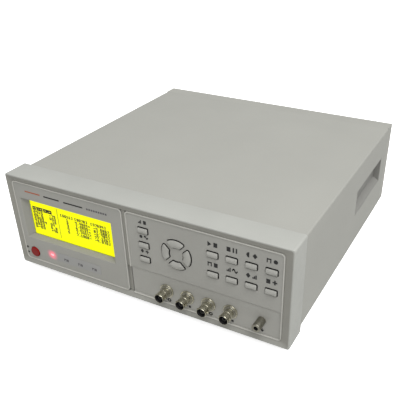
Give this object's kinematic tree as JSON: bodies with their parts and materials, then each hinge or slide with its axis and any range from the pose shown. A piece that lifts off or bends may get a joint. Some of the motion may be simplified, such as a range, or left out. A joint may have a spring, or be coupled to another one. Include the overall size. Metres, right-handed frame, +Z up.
{
  "type": "lcr meter",
  "caption": "Bench component-measuring meter in a flat grey case: yellow backlit display, arrow-key ring, function keys, coaxial jacks, ground post, side grips and tilt legs.",
  "frame": {"origin": "centre of the whole outline seen from above, on the plane the feet stand on", "axes": "+Z up, +X to the right seen from the front, front panel faces -Y, jacks point along -Y"},
  "size_m": [0.31, 0.3252, 0.113],
  "materials": {
    "bezel_plastic": "fine textured, warm light grey",
    "panel_plastic": "fine textured, mid grey",
    "key_plastic": "smooth satin mid grey",
    "painted_steel": "fine textured powder coat, light warm grey",
    "zinc_steel": "zinc plated",
    "rear_paint": "fine textured powder coat",
    "grip_plastic": "fine textured grey",
    "display_frame": "zinc plated",
    "lcd_yellow": "yellow-green backlit glass, lit",
    "circuit_board": "green solder mask",
    "smoke_strip": "translucent smoke grey",
    "led": "clear pink-red lens, first one lit",
    "black_plastic": "moulded black",
    "brass_nickel": "dull nickel plate",
    "screw_steel": "bright zinc",
    "insulator": "moulded dark insulator",
    "gold_brass": "gold flashed brass",
    "dull_contact": "tarnished contact metal",
    "core_steel": "varnished steel laminations",
    "coil_wrap": "yellow tape over copper winding",
    "capacitor_sleeve": "dark blue sleeve",
    "heatsink_aluminium": "extruded, natural",
    "black_cable": "matt jacket",
    "grey_cable": "grey ribbon",
    "brown_cable": "brown insulation",
    "connector_shell": "tin plated shell",
    "foot_rubber": "matt black",
    "leg_plastic": "moulded black",
    "button_red": "dark red, glossy",
    "fuse_glass": "clear glass tube with metal caps"
  },
  "bodies": {
    "chassis": {"front_bezel": "bezel_plastic", "display_panel": "panel_plastic", "keypad_panel": "panel_plastic", "front_subpanel": "zinc_steel", "lcd_frame": "display_frame", "lcd_glass": "lcd_yellow", "display_board": "circuit_board", "indicator_strip": "smoke_strip", "indicator_leds": "led", "keypad_board": "circuit_board", "key_switches": "black_plastic", "standoffs": "brass_nickel", "screws": "screw_steel", "bnc_bodies": "brass_nickel", "bnc_insulators": "insulator", "bnc_contacts": "dull_contact", "panel_nuts": "brass_nickel", "ground_post": "brass_nickel", "top_cover": "painted_steel", "chassis_tray": "zinc_steel", "rear_frame": "bezel_plastic", "rear_panel": "rear_paint", "left_grip": "grip_plastic", "right_grip": "grip_plastic", "main_board": "circuit_board", "main_chips": "black_plastic", "transformer_core": "core_steel", "transformer_coil": "coil_wrap", "supply_capacitors": "capacitor_sleeve", "heatsink": "heatsink_aluminium", "coax_leads": "black_cable", "ribbon_cables": "grey_cable", "mains_leads": "brown_cable", "power_switch": "black_plastic", "power_inlet": "black_plastic", "inlet_pins": "gold_brass", "serial_port": "connector_shell", "handler_port": "connector_shell", "feet": "foot_rubber"},
    "key_side_top": {"key_side_top": "key_plastic"},
    "key_side_middle": {"key_side_middle": "key_plastic"},
    "key_side_low": {"key_side_low": "key_plastic"},
    "key_up": {"key_up": "key_plastic"},
    "key_right": {"key_right": "key_plastic"},
    "key_down": {"key_down": "key_plastic"},
    "key_left": {"key_left": "key_plastic"},
    "key_a1": {"key_a1": "key_plastic"},
    "key_a2": {"key_a2": "key_plastic"},
    "key_a3": {"key_a3": "key_plastic"},
    "key_a4": {"key_a4": "key_plastic"},
    "key_b1": {"key_b1": "key_plastic"},
    "key_b2": {"key_b2": "key_plastic"},
    "key_b3": {"key_b3": "key_plastic"},
    "key_b4": {"key_b4": "key_plastic"},
    "power_button": {"power_button": "button_red"},
    "fuse_drawer": {"fuse_drawer": "black_plastic", "fuse": "fuse_glass"},
    "left_tilt_leg": {"left_tilt_leg": "leg_plastic"},
    "right_tilt_leg": {"right_tilt_leg": "leg_plastic"}
  },
  "joints": [
    {"name": "key_side_top_travel", "type": "slide", "parent": "chassis", "child": "key_side_top", "axis": [0, 1, 0], "range_m": [0, 0.0005]},
    {"name": "key_side_middle_travel", "type": "slide", "parent": "chassis", "child": "key_side_middle", "axis": [0, 1, 0], "range_m": [0, 0.0005]},
    {"name": "key_side_low_travel", "type": "slide", "parent": "chassis", "child": "key_side_low", "axis": [0, 1, 0], "range_m": [0, 0.0005]},
    {"name": "key_up_travel", "type": "slide", "parent": "chassis", "child": "key_up", "axis": [0, 1, 0], "range_m": [0, 0.0005]},
    {"name": "key_right_travel", "type": "slide", "parent": "chassis", "child": "key_right", "axis": [0, 1, 0], "range_m": [0, 0.0005]},
    {"name": "key_down_travel", "type": "slide", "parent": "chassis", "child": "key_down", "axis": [0, 1, 0], "range_m": [0, 0.0005]},
    {"name": "key_left_travel", "type": "slide", "parent": "chassis", "child": "key_left", "axis": [0, 1, 0], "range_m": [0, 0.0005]},
    {"name": "key_a1_travel", "type": "slide", "parent": "chassis", "child": "key_a1", "axis": [0, 1, 0], "range_m": [0, 0.0005]},
    {"name": "key_a2_travel", "type": "slide", "parent": "chassis", "child": "key_a2", "axis": [0, 1, 0], "range_m": [0, 0.0005]},
    {"name": "key_a3_travel", "type": "slide", "parent": "chassis", "child": "key_a3", "axis": [0, 1, 0], "range_m": [0, 0.0005]},
    {"name": "key_a4_travel", "type": "slide", "parent": "chassis", "child": "key_a4", "axis": [0, 1, 0], "range_m": [0, 0.0005]},
    {"name": "key_b1_travel", "type": "slide", "parent": "chassis", "child": "key_b1", "axis": [0, 1, 0], "range_m": [0, 0.0005]},
    {"name": "key_b2_travel", "type": "slide", "parent": "chassis", "child": "key_b2", "axis": [0, 1, 0], "range_m": [0, 0.0005]},
    {"name": "key_b3_travel", "type": "slide", "parent": "chassis", "child": "key_b3", "axis": [0, 1, 0], "range_m": [0, 0.0005]},
    {"name": "key_b4_travel", "type": "slide", "parent": "chassis", "child": "key_b4", "axis": [0, 1, 0], "range_m": [0, 0.0005]},
    {"name": "power_button_travel", "type": "slide", "parent": "chassis", "child": "power_button", "axis": [0, 1, 0], "range_m": [0, 0.003]},
    {"name": "fuse_drawer_travel", "type": "slide", "parent": "chassis", "child": "fuse_drawer", "axis": [0, 1, 0], "range_m": [0, 0.018]},
    {"name": "left_tilt_leg_hinge", "type": "hinge", "parent": "chassis", "child": "left_tilt_leg", "pos_m": [-0.113, -0.11245, 0.004], "axis": [-1, 0, 0], "range_deg": [0, 95]},
    {"name": "right_tilt_leg_hinge", "type": "hinge", "parent": "chassis", "child": "right_tilt_leg", "pos_m": [0.113, -0.11245, 0.004], "axis": [-1, 0, 0], "range_deg": [0, 95]}
  ]
}
